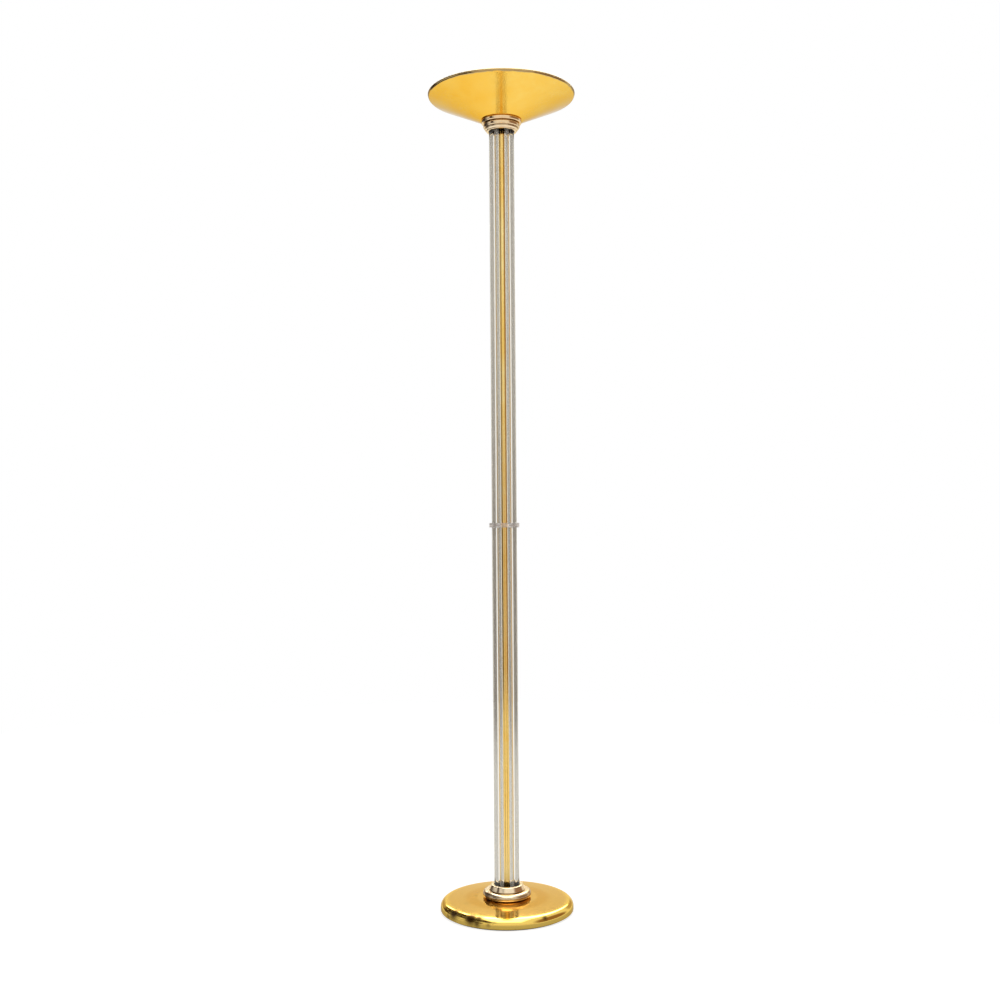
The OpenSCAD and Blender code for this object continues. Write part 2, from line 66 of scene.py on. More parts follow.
# ---- The studio --------------------------------------------------------------------------------
# A white sweep under even light. What the brass mirrors is a plain room: white, with soft brown
# shelves near the horizon, a dark wooden wall on the left and a bright ceiling. What the clear
# rods bend into view is pale at the sides and grey straight ahead.
class Wire:
    """One output of a shader tree, which takes part in sums."""

    def __init__(self, recipe, socket):
        self.recipe, self.socket = recipe, socket

    def _with(self, other, how, other_first=False):
        pair = (other, self) if other_first else (self, other)
        return self.recipe.node("ShaderNodeMath", {"operation": how}, dict(enumerate(pair)))

    def __add__(self, other): return self._with(other, "ADD")
    def __radd__(self, other): return self._with(other, "ADD")
    def __sub__(self, other): return self._with(other, "SUBTRACT")
    def __rsub__(self, other): return self._with(other, "SUBTRACT", True)
    def __mul__(self, other): return self._with(other, "MULTIPLY")
    def __rmul__(self, other): return self._with(other, "MULTIPLY")
    def __truediv__(self, other): return self._with(other, "DIVIDE")
    def __pow__(self, other): return self._with(other, "POWER")
    def over(self, other): return self._with(other, "MAXIMUM")
    def sine(self): return self.recipe.node("ShaderNodeMath", {"operation": "SINE"}, {0: self})

    def rise(self, low, high):
        """0 up to low, 1 from high on, smooth between them; low may be the larger one."""
        flip = low > high
        start, stop = (high, low) if flip else (low, high)
        return self.recipe.node("ShaderNodeMapRange", {"interpolation_type": "SMOOTHSTEP"}, {
            0: self, 1: start, 2: stop, 3: 1.0 if flip else 0.0, 4: 0.0 if flip else 1.0})


class Recipe:
    """The node tree of a finish or of the room, emptied and ready to be filled."""

    def __init__(self, owner):
        owner.use_nodes = True
        self.tree = owner.node_tree
        self.tree.nodes.clear()

    def node(self, kind, settings=None, sockets=None, out=0):
        """Any node, with its settings, and its sockets joined or set; one output comes back."""
        made = self.tree.nodes.new(kind)
        for name, value in (settings or {}).items():
            setattr(made, name, value)
        for name, value in (sockets or {}).items():
            if isinstance(value, Wire):
                self.tree.links.new(value.socket, made.inputs[name])
            else:
                made.inputs[name].default_value = value
        return Wire(self, made.outputs[out])

    def mix(self, share, first, second):
        """A colour between two, each a Wire or red, green and blue."""
        first, second = (c if isinstance(c, Wire) else (*c, 1.0) for c in (first, second))
        return self.node("ShaderNodeMix", {"data_type": "RGBA"}, {0: share, 6: first, 7: second}, 2)

    def mix_shader(self, share, first, second):
        """The second shader where share is 1, the first where it is 0."""
        return self.node("ShaderNodeMixShader", sockets={0: share, 1: first, 2: second})

    def glow(self, kind, colour, strength):
        """An even light of one colour, from a background or from a surface."""
        colour = colour if isinstance(colour, Wire) else (*colour, 1.0)
        return self.node(kind, sockets={0: colour, 1: strength})

    def rays(self):
        """1 for a camera ray, for a mirrored ray and for a ray through glass, each on its own."""
        kinds = self.node("ShaderNodeLightPath").socket.node.outputs
        return [Wire(self, kinds[name]) for name in (
            "Is Camera Ray", "Is Glossy Ray", "Is Transmission Ray")]

    def parts(self, vector):
        """The x, y and z of a vector."""
        split = self.node("ShaderNodeSeparateXYZ", sockets={0: vector})
        return [Wire(self, out) for out in split.socket.node.outputs]

    def noise(self, place, scale, detail, rough, stretch=(1, 1, 1), offset=(0, 0, 0)):
        """Clouds from 0 to 1; a stretch below 1 draws them out along x, y or z."""
        place = self.node("ShaderNodeMapping", sockets={0: place, 1: offset, 3: stretch})
        return self.node("ShaderNodeTexNoise", sockets={0: place, 2: scale, 3: detail, 4: rough})

    def end(self, surface, kind="ShaderNodeOutputMaterial"):
        """Joins the finished shader to the tree's output."""
        last = self.tree.nodes.new(kind)
        self.tree.links.new(surface.socket, last.inputs[0])


def srgb(red, green, blue):
    """A colour from its 0 to 255 screen values."""
    return tuple(((v / 255 + 0.055) / 1.055) ** 2.4 if v > 10 else v / 255 / 12.92
                 for v in (red, green, blue))


def towards(azimuth, elevation):
    """A direction: azimuth 0 is the front, 90 the right; both in degrees."""
    a, e = math.radians(azimuth), math.radians(elevation)
    return (math.sin(a) * math.cos(e), -math.cos(a) * math.cos(e), math.sin(e))


room = bpy.data.worlds.new("room")
scene.world = room
r = Recipe(room)
camera_ray, glossy_ray, clear_ray = r.rays()
look = r.node("ShaderNodeTexCoord")
east, north, up = r.parts(look)


def patch(azimuth, elevation, inner, outer):
    """1 within inner degrees of a direction, 0 past outer degrees."""
    nearness = r.node("ShaderNodeVectorMath", {"operation": "DOT_PRODUCT"},
                      {0: look, 1: towards(azimuth, elevation)}, 1)
    return nearness.rise(math.cos(math.radians(outer)), math.cos(math.radians(inner)))


def ahead(east, north):
    """1 for what lies beyond the lamp as seen from the front, 0 at both sides and before it."""
    return (east * east / (east * east + north * north)).rise(0.50, 0.22) * north.rise(-0.2, 0.3)


WALLS, DUSK = (0.95, 0.945, 0.93), srgb(210, 184, 164)
SHELF, WOOD = srgb(132, 86, 36), srgb(46, 14, 5)
SHELVES = ((84, 10, 26, 42, 0.9), (-150, 8, 8, 22, 0.6), (148, 12, 8, 20, 0.6))
front = (0 - north).rise(-0.1, 0.6)
seen = r.mix(up.rise(0.12, 0.02) * front, WALLS, DUSK)
for azimuth, elevation, inner, outer, share in SHELVES:
    seen = r.mix(patch(azimuth, elevation, inner, outer) * share, seen, SHELF)
gaps = r.noise(look, 4.6, 1.0, 0.5, offset=(2.3, 0.4, 1.1)).rise(0.56, 0.64)
wall = (0.35 * up.rise(0.20, 0.60) - east).rise(0.54, 0.72) * up.rise(0.92, 0.80)
doorway = up.rise(0.02, 0.10) * up.rise(0.46, 0.36) * (north * north).rise(0.12, 0.05)
wall = wall * (1 - 0.75 * doorway)
seen = r.mix(wall * (1 - 0.9 * gaps) * 0.97, seen, WOOD)
overhead = ((east * east).rise(0.17, 0.09) * north.rise(0.884, 0.848)
            * (0 - north).rise(0.72, 0.55) * up.rise(0.28, 0.42))
CEILING_NEAR, CEILING_FAR = 2.6, 4.4
brightness = 1 + overhead * (CEILING_NEAR + CEILING_FAR * north.rise(0.25, 0.60))
GREY_LOW, GREY_HIGH, PALE = srgb(112, 104, 96), srgb(160, 154, 146), srgb(244, 240, 230)
grey = r.mix(up.rise(-0.08, 0.18), GREY_LOW, GREY_HIGH)
WARM_LIGHT, LIGHT_STRENGTH, WHITE, FULL = (1.0, 0.985, 0.96), 0.60, (1.0, 1.0, 1.0), 1.0
plain = r.glow("ShaderNodeBackground", WARM_LIGHT, LIGHT_STRENGTH)
mirrored = r.glow("ShaderNodeBackground", seen, brightness)
through = r.glow("ShaderNodeBackground", r.mix(ahead(east, north), PALE, grey), FULL)
backdrop = r.glow("ShaderNodeBackground", WHITE, FULL)
lit = r.mix_shader(clear_ray, r.mix_shader(glossy_ray, plain, mirrored), through)
r.end(r.mix_shader(camera_ray, lit, backdrop), "ShaderNodeOutputWorld")


def softbox(name, azimuth, elevation, distance, wide, high, watts, aim=(0, 0, 0.9), tint=WHITE):
    """A large flat light, turned to face the lamp and kept out of its mirror images."""
    light = bpy.data.lights.new(name, "AREA")
    light.shape, light.size, light.size_y = "RECTANGLE", wide, high
    light.energy, light.color = watts, tint
    lamp = bpy.data.objects.new(name, light)
    lamp.location = Vector(aim) + Vector(towards(azimuth, elevation)) * distance
    lamp.rotation_euler = (Vector(aim) - lamp.location).to_track_quat("-Z", "Y").to_euler()
    lamp.visible_glossy = False
    scene.collection.objects.link(lamp)


softbox("key", -8, 60, 3.0, 2.0, 1.6, 24, aim=(0, 0, 0.3), tint=(1, 0.98, 0.95))
softbox("side", 68, 30, 3.2, 1.0, 1.6, 9)
softbox("back", 165, 45, 3.2, 1.8, 1.4, 16)

FLOOR_R, FLOOR_STEPS = 3.1, 96
ground = bmesh.new()
bmesh.ops.create_circle(ground, cap_ends=True, segments=FLOOR_STEPS, radius=FLOOR_R)
floor_mesh = bpy.data.meshes.new("studio_floor")
ground.to_mesh(floor_mesh)
ground.free()
floor = bpy.data.objects.new("studio_floor", floor_mesh)
scene.collection.objects.link(floor)
paint = bpy.data.materials.new("studio_floor")
r = Recipe(paint)
camera_ray, glossy_ray, clear_ray = r.rays()
x, y, _ = r.parts(r.node("ShaderNodeTexCoord", out=3))
reach = (x * x + y * y) ** 0.5
SEEN_GLOW, MATT_GREY, GREY_NEAR = 0.76, 0.40, srgb(206, 203, 197)
# What the brass mirrors of the floor is darker near the foot: a painted shadow round it.
mirrored_glow_with_painted_shadow = 0.10 + 0.56 * reach.rise(0.10, 0.42)
matt = r.node("ShaderNodeBsdfDiffuse", sockets={0: (MATT_GREY, MATT_GREY, MATT_GREY, 1.0)})
lift = r.glow("ShaderNodeEmission", WHITE, camera_ray * SEEN_GLOW + glossy_ray * mirrored_glow_with_painted_shadow)
sweep = r.node("ShaderNodeAddShader", sockets={0: matt, 1: lift})
grey = r.mix(reach.rise(1.1, 3.0), GREY_NEAR, GREY_LOW)
through = r.glow("ShaderNodeEmission", r.mix(ahead(x / reach, y / reach), PALE, grey), FULL)
r.end(r.mix_shader(clear_ray, sweep, through))
floor_mesh.materials.append(paint)


# ---- Felt under the foot -----------------------------------------------------------------------
# A disc of dark green wool felt glued under the iron weight, so the foot doesn't mark the floor.
def new_finish(name):
    """An empty material, its tree, and the place on the piece that patterns are read at."""
    made = bpy.data.materials.new(name)
    r = Recipe(made)
    return made, r, r.node("ShaderNodeTexCoord", out=3)


def surface(r, base, rough, bump, bump_depth, **constants):
    """The one shader of a finish: what varies comes as Wires, the rest is set on its sockets."""
    normal = r.node("ShaderNodeBump", sockets={
        "Strength": 1.0, "Distance": bump_depth, "Height": bump})
    sockets = {"Base Color": base, "Roughness": rough, "Normal": normal}
    sockets.update({name.replace("_", " "): value for name, value in constants.items()})
    r.end(r.node("ShaderNodeBsdfPrincipled", sockets=sockets))


def dress(node, finish):
    """A CAD node that stays gets its finish."""
    mesh = nodes[node].data
    mesh.materials.clear()
    mesh.materials.append(finish)


felt, r, place = new_finish("green_felt")
fibres = r.noise(place, 900, 4.0, 0.7)
clumps = r.noise(place, 120, 3.0, 0.6)
surface(r, r.mix(fibres * 0.6 + clumps * 0.4, srgb(20, 42, 28), srgb(52, 86, 60)), 0.95,
        fibres + clumps, 0.6 * MM, Sheen_Weight=0.4)
dress("felt_pad", felt)


# ---- Cast-iron weight --------------------------------------------------------------------------
# A sand-cast disc with a raised boss, painted grey-black. The shell is clamped onto the boss.
iron, r, place = new_finish("cast_iron")
grain = r.noise(place, 700, 5.0, 0.65)
scale_marks = r.noise(place, 60, 3.0, 0.6)
surface(r, r.mix(scale_marks.rise(0.35, 0.7), srgb(46, 46, 48), srgb(70, 66, 62)),
        0.62 + 0.2 * grain, grain, 0.4 * MM, Metallic=0.35)
dress("base_weight", iron)


# ---- Turned work: the shell of the foot ---------------------------------------------------------
# The shell is sheet brass spun over a former, with a low crown, a rounded edge and a turned-under
# lip, then polished and lacquered. All spun and turned pieces come off one lathe, made here.
TOUCHING, SAME_POINT = 1e-6, 1e-7


def lathe_tree():
    """Turns the points of a section, from x and z, into a closed form round the Z axis. Points
    with a "thread" weight follow a right-hand screw of the given pitch and depth."""
    tree = bpy.data.node_groups.new("lathe", "GeometryNodeTree")
    face = tree.interface
    face.new_socket("Section", in_out="INPUT", socket_type="NodeSocketGeometry")
    steps = face.new_socket("Steps", in_out="INPUT", socket_type="NodeSocketInt")
    finish = face.new_socket("Finish", in_out="INPUT", socket_type="NodeSocketMaterial")
    face.new_socket("Form", in_out="OUTPUT", socket_type="NodeSocketGeometry")
    steps.min_value = 3
    pitch = face.new_socket("Pitch", in_out="INPUT", socket_type="NodeSocketFloat")
    depth = face.new_socket("Thread Depth", in_out="INPUT", socket_type="NodeSocketFloat")
    pitch.default_value = 1.0
    new, link = tree.nodes.new, tree.links.new

    def math_node(how, a, b):
        made = new("ShaderNodeMath")
        made.operation = how
        for place, value in enumerate((a, b)):
            if isinstance(value, (int, float)):
                made.inputs[place].default_value = value
            else:
                link(value, made.inputs[place])
        return made.outputs[0]

    given, size = new("NodeGroupInput"), new("GeometryNodeAttributeDomainSize")
    grid = new("GeometryNodeMeshGrid")
    link(given.outputs["Section"], size.inputs[0])
    count = size.outputs["Point Count"]
    link(math_node("ADD", given.outputs["Steps"], 1), grid.inputs["Vertices X"])
    link(count, grid.inputs["Vertices Y"])
    index = new("GeometryNodeInputIndex").outputs[0]
    turn = math_node("FLOOR", math_node("DIVIDE", math_node("ADD", index, 0.5), count), 0)
    along = math_node("SUBTRACT", index, math_node("MULTIPLY", turn, count))
    angle = math_node("MULTIPLY", math_node("DIVIDE", turn, given.outputs["Steps"]), 2 * math.pi)

    def sampled(value, kind):
        """A value of the section's own point, for every point of the grid."""
        at = new("GeometryNodeSampleIndex")
        at.data_type, at.domain = kind, "POINT"
        link(given.outputs["Section"], at.inputs["Geometry"])
        link(value, at.inputs["Value"])
        link(along, at.inputs["Index"])
        return at.outputs[0]

    weight = new("GeometryNodeInputNamedAttribute")
    weight.data_type = "FLOAT"
    weight.inputs["Name"].default_value = "thread"
    split, join = new("ShaderNodeSeparateXYZ"), new("ShaderNodeCombineXYZ")
    link(sampled(new("GeometryNodeInputPosition").outputs[0], "FLOAT_VECTOR"), split.inputs[0])
    phase = math_node("MULTIPLY", math_node("DIVIDE", split.outputs["Z"], given.outputs["Pitch"]),
                      2 * math.pi)
    wave = math_node("SINE", math_node("SUBTRACT", phase, angle), 0)
    swell = math_node("MULTIPLY", math_node("MULTIPLY", wave, given.outputs["Thread Depth"]),
                      sampled(weight.outputs[0], "FLOAT"))
    link(math_node("ADD", split.outputs["X"], swell), join.inputs["X"])
    link(split.outputs["Z"], join.inputs["Z"])
    spin, put = new("ShaderNodeVectorRotate"), new("GeometryNodeSetPosition")
    spin.rotation_type = "Z_AXIS"
    link(join.outputs[0], spin.inputs["Vector"])
    link(angle, spin.inputs["Angle"])
    link(grid.outputs["Mesh"], put.inputs["Geometry"])
    link(spin.outputs[0], put.inputs["Position"])
    merge, real = new("GeometryNodeMergeByDistance"), new("GeometryNodeRealizeInstances")
    coat = new("GeometryNodeSetMaterial")
    merge.inputs["Distance"].default_value = TOUCHING
    link(put.outputs[0], merge.inputs["Geometry"])
    link(merge.outputs[0], real.inputs[0])
    link(real.outputs[0], coat.inputs["Geometry"])
    link(given.outputs["Finish"], coat.inputs["Material"])
    link(coat.outputs[0], new("NodeGroupOutput").inputs["Form"])
    return tree, [socket.identifier for socket in (steps, finish, pitch, depth)]


LATHE, LATHE_KEYS = lathe_tree()


def settled(name, given, tree, values):
    """A new piece: a mesh put through a tree, with the tree's result as its own plain mesh."""
    worker = bpy.data.objects.new(name + "_work", given)
    scene.collection.objects.link(worker)
    modifier = worker.modifiers.new("make", "NODES")
    modifier.node_group = tree
    for key, value in values.items():
        modifier[key] = value
    worker.update_tag()
    bpy.context.view_layer.update()
    evaluated = worker.evaluated_get(bpy.context.evaluated_depsgraph_get())
    mesh = bpy.data.meshes.new_from_object(evaluated)
    bpy.data.objects.remove(worker)
    mesh.name = name
    piece = bpy.data.objects.new(name, mesh)
    scene.collection.objects.link(piece)
    return piece


SHARP_DEG = 40


def tidy_faces(mesh):
    """Outward faces, smooth but for real corners."""
    work = bmesh.new()
    work.from_mesh(mesh)
    bmesh.ops.remove_doubles(work, verts=work.verts, dist=SAME_POINT)
    bmesh.ops.recalc_face_normals(work, faces=work.faces)
    work.to_mesh(mesh)
    work.free()
    mesh.shade_smooth()
    mesh.set_sharp_from_angle(angle=math.radians(SHARP_DEG))


def turned(name, outline, finish, steps=192, place=None, pitch=1.0, depth=0.0):
    """A turned piece from its outline, a list of (radius, height) in millimetres. A third value
    is the share of the thread's depth at that point."""
    line = bpy.data.meshes.new(name + "_section")
    line.from_pydata([(point[0] * MM, 0, point[1] * MM) for point in outline], [], [])
    weight = line.attributes.new("thread", "FLOAT", "POINT")
    weight.data.foreach_set("value", [(*point, 0.0)[2] for point in outline])
    piece = settled(name, line, LATHE, dict(zip(
        LATHE_KEYS, (steps, finish, pitch * MM, depth * MM))))
    if place is not None:
        piece.data.transform(place)
    tidy_faces(piece.data)
    return piece


def arc(x, z, r, start, stop, steps):
    """Points on an arc round (x, z), angles in degrees from the outward direction."""
    return [(x + r * math.cos(math.radians(start + (stop - start) * i / steps)),
             z + r * math.sin(math.radians(start + (stop - start) * i / steps)))
            for i in range(steps + 1)]


EASED, HOLD, FACET_DEG, STRAIGHT_DEG = 0.15, 0.25, 9, 179


def section(corners, closed=True):
    """Corners (x, z, round) as points: each corner's round, and a point held near each end of a
    long flat, so that it shades flat. A corner without a round is eased."""
    points, count = [], len(corners)
    for i, corner in enumerate(corners):
        x, z, rounding = (*corner, EASED)[:3]
        ends = not closed and i in (0, count - 1)
        here = Vector((x, z))
        if ends or rounding == 0:
            points.append((x, z))
            continue
        before = Vector(corners[i - 1][:2]) - here
        after = Vector(corners[(i + 1) % count][:2]) - here
        opening = before.angle(after)
        if opening > math.radians(STRAIGHT_DEG):
            points.append((x, z))
            continue
        back = rounding / math.tan(opening / 2)
        mid = here + (before.normalized() + after.normalized()).normalized() * (
            rounding / math.sin(opening / 2))
        first, last = here + before.normalized() * back, here + after.normalized() * back
        a, b = first - mid, last - mid
        sweep = a.angle_signed(b)
        steps = max(4, int(abs(math.degrees(sweep)) / FACET_DEG))
        spare_before, spare_after = before.length - back, after.length - back
        if spare_before > 4 * HOLD:
            points.append(tuple(first + before.normalized() * HOLD))
        for k in range(steps + 1):
            c, s = math.cos(-sweep * k / steps), math.sin(-sweep * k / steps)
            points.append((mid.x + a.x * c - a.y * s, mid.y + a.x * s + a.y * c))
        if spare_after > 4 * HOLD:
            points.append(tuple(last + after.normalized() * HOLD))
    if closed:
        points.append(points[0])
    return points


# The brown of lacquer worn through, which is also laid as painted shade and painted reflection.
TARNISH_AND_SHADE, LATHE_MARK = srgb(54, 20, 5), 1.1 * MM


def brass(name, face, warm, pale, rough, *, specks, seed, spin=0.0, drawn=0.0, bands=(),
          tint=(1.0, 0.9, 0.68), depth=0.012 * MM):
    """Polished and lacquered brass. Tones drift over a hand's breadth, the lathe or the draw bench
    leaves fine marks, and the lacquer has worn through to brown in a few pin-head spots and where
    the piece is stained. The same brown is also laid on as painted shade and painted reflection,
    where a piece's points are marked for it. Each of the bands is a tone that comes in between two
    distances from the lamp's axis, in millimetres; some bands are painted reflection or highlight."""
    made, r, place = new_finish(name)
    x, y, _ = r.parts(place)
    drift = r.noise(place, 7, 2.0, 0.5, offset=(seed, 0, 0))
    film = r.noise(place, 38, 3.0, 0.6, offset=(0, seed, 0))
    fine = r.noise(place, 420, 3.0, 0.65, offset=(0, 0, seed))
    tone = r.mix(drift.rise(0.35, 0.65), warm, pale)
    tone = r.mix(film.rise(0.30, 0.62) * 0.6, tone, face)
    rho = (x * x + y * y) ** 0.5
    for start, full, colour in bands:
        tone = r.mix((rho + 6 * MM * (film - 0.5)).rise(start * MM, full * MM), tone, colour)
    spots = r.noise(place, 165, 1.0, 0.4, offset=(seed, seed, 0)).rise(0.80 - specks * 0.12, 0.84)
    halo = r.noise(place, 26, 3.0, 0.7, offset=(0, seed, seed)).rise(0.66, 0.80)
    worn_or_shaded = spots.over(halo * 0.35) * min(1.0, specks * 4)
    # Points a piece has marked darken to the same brown: real stains, and painted shade and painted
    # reflection.
    soil_and_shade = r.node("ShaderNodeAttribute", {"attribute_name": "soil_and_shade"}, out=2)
    worn_or_shaded = worn_or_shaded.over((soil_and_shade + 0.5 * (film - 0.5) * soil_and_shade).rise(0.05, 0.9))
    tone = r.mix(worn_or_shaded * 0.95, tone, TARNISH_AND_SHADE)
    marks = fine * 0.5
    if spin:
        marks = marks + (rho * (2 * math.pi / LATHE_MARK) + 6 * film).sine() * spin
    if drawn:
        marks = marks + r.noise(place, 900, 2.0, 0.5, stretch=(1, 1, 0.01)) * drawn
    surface(r, tone, rough + 0.06 * film + 0.05 * fine + 0.25 * worn_or_shaded, marks, depth, Metallic=1.0,
            Coat_Weight=0.25, Coat_Roughness=0.06, Specular_Tint=(*tint, 1.0))
    return made


def fitted(piece, stands_for, body="root"):
    """The piece moves with a body and stands for one CAD node or several, which it hides."""
    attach(piece, body)
    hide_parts(*([stands_for] if isinstance(stands_for, str) else stands_for))


def stained_or_shaded(piece, rule, spots):
    """Writes how stained, or darkened with painted shade or painted reflection, a piece is at each
    point: by a rule of its distance from the axis and its height in millimetres, and by round spots,
    each (x, y, z), radius and depth."""
    mesh = piece.data
    soil_and_shade = mesh.attributes.new("soil_and_shade", "FLOAT", "POINT")
    values = []
    for v in mesh.vertices:
        here = v.co / MM
        stains = [deep * max(0.0, 1 - (here - Vector(at)).length / wide)
                  for at, wide, deep in spots]
        values.append(max([rule(here.xy.length, here.z)] + stains))
    soil_and_shade.data.foreach_set("value", values)


FOOT_R, FOOT_H, WALL, SEAT_R = 146.0, 30.0, 1.2, 56.0
CROWN_R, EDGE_R, EDGE_X, EDGE_Z = 1430.0, 14.0, 132.0, 10.93
LIP_R, LIP_X, LIP_Z = 3.0, 143.0, 5.5
BORE = 5.1
crown_z = FOOT_H - math.sqrt(CROWN_R ** 2 - SEAT_R ** 2)
lean = math.degrees(math.asin(EDGE_X / (CROWN_R - EDGE_R)))


def shell_line(inset):
    """The shell's outside from the seat down to its lip, set in by a distance."""
    start = math.degrees(math.acos(SEAT_R / CROWN_R))
    crown = arc(0, crown_z, CROWN_R - inset, start, 90 - lean, 24)
    edge = arc(EDGE_X, EDGE_Z, EDGE_R - inset, 90 - lean, 0, 28)
    wall = [(FOOT_R - inset, EDGE_Z - 2.5), (FOOT_R - inset, LIP_Z + 0.4)]
    return [(BORE, FOOT_H - inset), (SEAT_R - 1, FOOT_H - inset)] + crown + edge[1:] + wall + arc(
        LIP_X, LIP_Z, LIP_R - inset, 0, -90, 12)


# The bands are painted: darker gold rings round the collar are painted reflection of the collar, and
# the brighter yellow ring at the rounded edge is a painted highlight.
foot_brass = brass("foot_brass", srgb(226, 182, 102), srgb(226, 174, 82), srgb(230, 190, 116),
                   0.05, spin=0.10, specks=0.22, seed=3.1, tint=(1.0, 0.82, 0.45), depth=0.005 * MM,
                   bands=[(62, 70, srgb(216, 164, 76)), (82, 100, srgb(222, 178, 98)),
                          (124, 138, srgb(247, 210, 104))])
outside, inside = shell_line(0), shell_line(WALL)
shell = turned("foot_shell", outside + inside[::-1] + outside[:1], foot_brass, steps=384)

GLAND_Z, GLAND_HOLE_R, DRILL_LENGTH = 10.3, 5.6, 40.0


def drills(name, radius, length, places, steps=48):
    """Straight drills in one mesh, one at each place; with six steps they are hexagonal."""
    work = bmesh.new()
    for place in places:
        bmesh.ops.create_cone(work, cap_ends=True, segments=steps, radius1=radius * MM,
                              radius2=radius * MM, depth=length * MM, matrix=place)
    mesh = bpy.data.meshes.new(name)
    work.to_mesh(mesh)
    work.free()
    return mesh


def cut(piece, cutter_mesh, how="DIFFERENCE"):
    """The piece with the cutter's volume taken out of it, or only what both share."""
    cutter = bpy.data.objects.new("cutter", cutter_mesh)
    scene.collection.objects.link(cutter)
    modifier = piece.modifiers.new("cut", "BOOLEAN")
    modifier.operation, modifier.solver, modifier.object = how, "EXACT", cutter
    bpy.context.view_layer.update()
    evaluated = piece.evaluated_get(bpy.context.evaluated_depsgraph_get())
    result = bpy.data.meshes.new_from_object(evaluated)
    piece.modifiers.clear()
    piece.data = result
    bpy.data.objects.remove(cutter)
    tidy_faces(result)


cut(shell, drills("drill", GLAND_HOLE_R, DRILL_LENGTH, [Matrix.Translation(
    (0, FOOT_R * MM, GLAND_Z * MM)) @ Matrix.Rotation(math.radians(90), 4, "X")]))
# The spots on the left and right of the edge are tarnish stains; the last three, in front of the
# collar, are painted reflection: a dark gold patch where the foot mirrors the collar.
stained_or_shaded(shell, lambda rho, z: 0.0, spots=[
    ((-113, -86, 21), 24, 1.1), ((-101, -96, 22), 14, 0.8), ((-76, -119, 21), 24, 1.1),
    ((-60, -126, 22), 18, 0.9), ((-64, -130, 12), 14, 0.8), ((-40, -139, 12), 10, 0.6),
    ((-126, -72, 10), 13, 0.7), ((78, -118, 19), 10, 0.9), ((-133, -56, 14), 9, 0.5),
    ((-26, -76, 28), 24, 0.45), ((6, -80, 28), 24, 0.50), ((36, -74, 28), 24, 0.45)])
fitted(shell, "base_shell")


# ---- Pipe, washer and nut in the foot ------------------------------------------------------------
# Zinc-plated steel: a threaded pipe passes weight, shell and collar, and a nut on a washer pulls
# them together from below. A shorter length of the pipe holds dish and lampholder.
steel, r, place = new_finish("zinc_steel")
spangle = r.noise(place, 260, 3.0, 0.6)
PIPE_PITCH = 1.0 * MM
thread = (r.parts(place)[2] * (2 * math.pi / PIPE_PITCH)).sine()
surface(r, r.mix(spangle, srgb(150, 152, 156), srgb(196, 196, 192)), 0.28 + 0.2 * spangle,
        spangle + 0.5 * thread, 0.12 * MM, Metallic=1.0)
for name in ("base_washer", "base_nut", "base_pipe", "upper_pipe"):
    dress(name, steel)


# ---- Cord gland ----------------------------------------------------------------------------------
# A black nylon bush through the back of the shell with its nut inside. Its mouth is rounded so
# that it doesn't chafe a cord.
nylon, r, place = new_finish("black_nylon")
skin = r.noise(place, 1400, 3.0, 0.6)
dust = r.noise(place, 90, 3.0, 0.6)
surface(r, r.mix(dust.rise(0.4, 0.75), srgb(20, 20, 21), srgb(44, 43, 42)), 0.42 + 0.12 * skin,
        skin, 0.05 * MM)
GLAND_BORE_R, NOSE_R, FLANGE_R, FLANGE_LOW, FLANGE_HIGH = 3.8, 5.5, 7.5, 11, 13
GLAND_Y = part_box("cable_gland")[0].y / MM
NOSE_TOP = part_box("cable_gland")[1].y / MM - GLAND_Y
gland_place = Matrix.Translation((0, GLAND_Y * MM, GLAND_Z * MM)) @ Matrix.Rotation(
    math.radians(-90), 4, "X")
bush = section([(GLAND_BORE_R, 0), (NOSE_R, 0), (NOSE_R, FLANGE_LOW), (FLANGE_R, FLANGE_LOW, 0.3),
                (FLANGE_R, FLANGE_HIGH, 0.3), (NOSE_R, FLANGE_HIGH), (NOSE_R, NOSE_TOP, 0.5),
                (GLAND_BORE_R, NOSE_TOP, 1.0)])
gland = turned("cord_gland", bush, nylon, steps=64, place=gland_place)
fitted(gland, "cable_gland")
dress("gland_nut", nylon)


# ---- Lower collar --------------------------------------------------------------------------------
# Turned from solid brass bar: a half-round ring on the foot, a groove, and a cup whose rounded lip
# holds the rods. Polished brighter and paler than the spun parts.
collar_brass = brass("collar_brass", srgb(241, 217, 176), srgb(233, 194, 134), srgb(247, 227, 194),
                     0.12, spin=0.2, specks=0.10, seed=7.7)
RING_X, RING_R, NECK_R, NECK_Z = 45, 8.0, 37, 46
CUP_R, CUP_Z, MOUTH_R, MOUTH_Z, WELL_R, WELL_Z = 39.5, 47.5, 35, 58, 28.5, 34.0
half_round = arc(RING_X, FOOT_H + RING_R, RING_R, -90, 90, 24)
low = section([(BORE, FOOT_H)] + [(x, z, 0) for x, z in half_round] + [
    (NECK_R, NECK_Z, 0.3), (NECK_R, CUP_Z, 0.3), (CUP_R, CUP_Z, 0.4), (MOUTH_R, MOUTH_Z, 2.0),
    (WELL_R, MOUTH_Z, 0.6), (WELL_R, WELL_Z, 0.3), (BORE, WELL_Z)])
lower_collar = turned("lower_collar_turned", low, collar_brass)


def lower_polish_and_shade(rho, z):
    """Painted shade, with old polish, in the well up to its lip and in the groove; the half-round
    ring is a little darker all over.
    """
    if rho < WELL_R + 0.3 and z < MOUTH_Z - 0.7:
        return 1.0
    if rho < NECK_R + 0.3 and NECK_Z - 1 < z < CUP_Z + 0.5:
        return 0.5
    return 0.36 if z < NECK_Z + 0.1 else 0.0


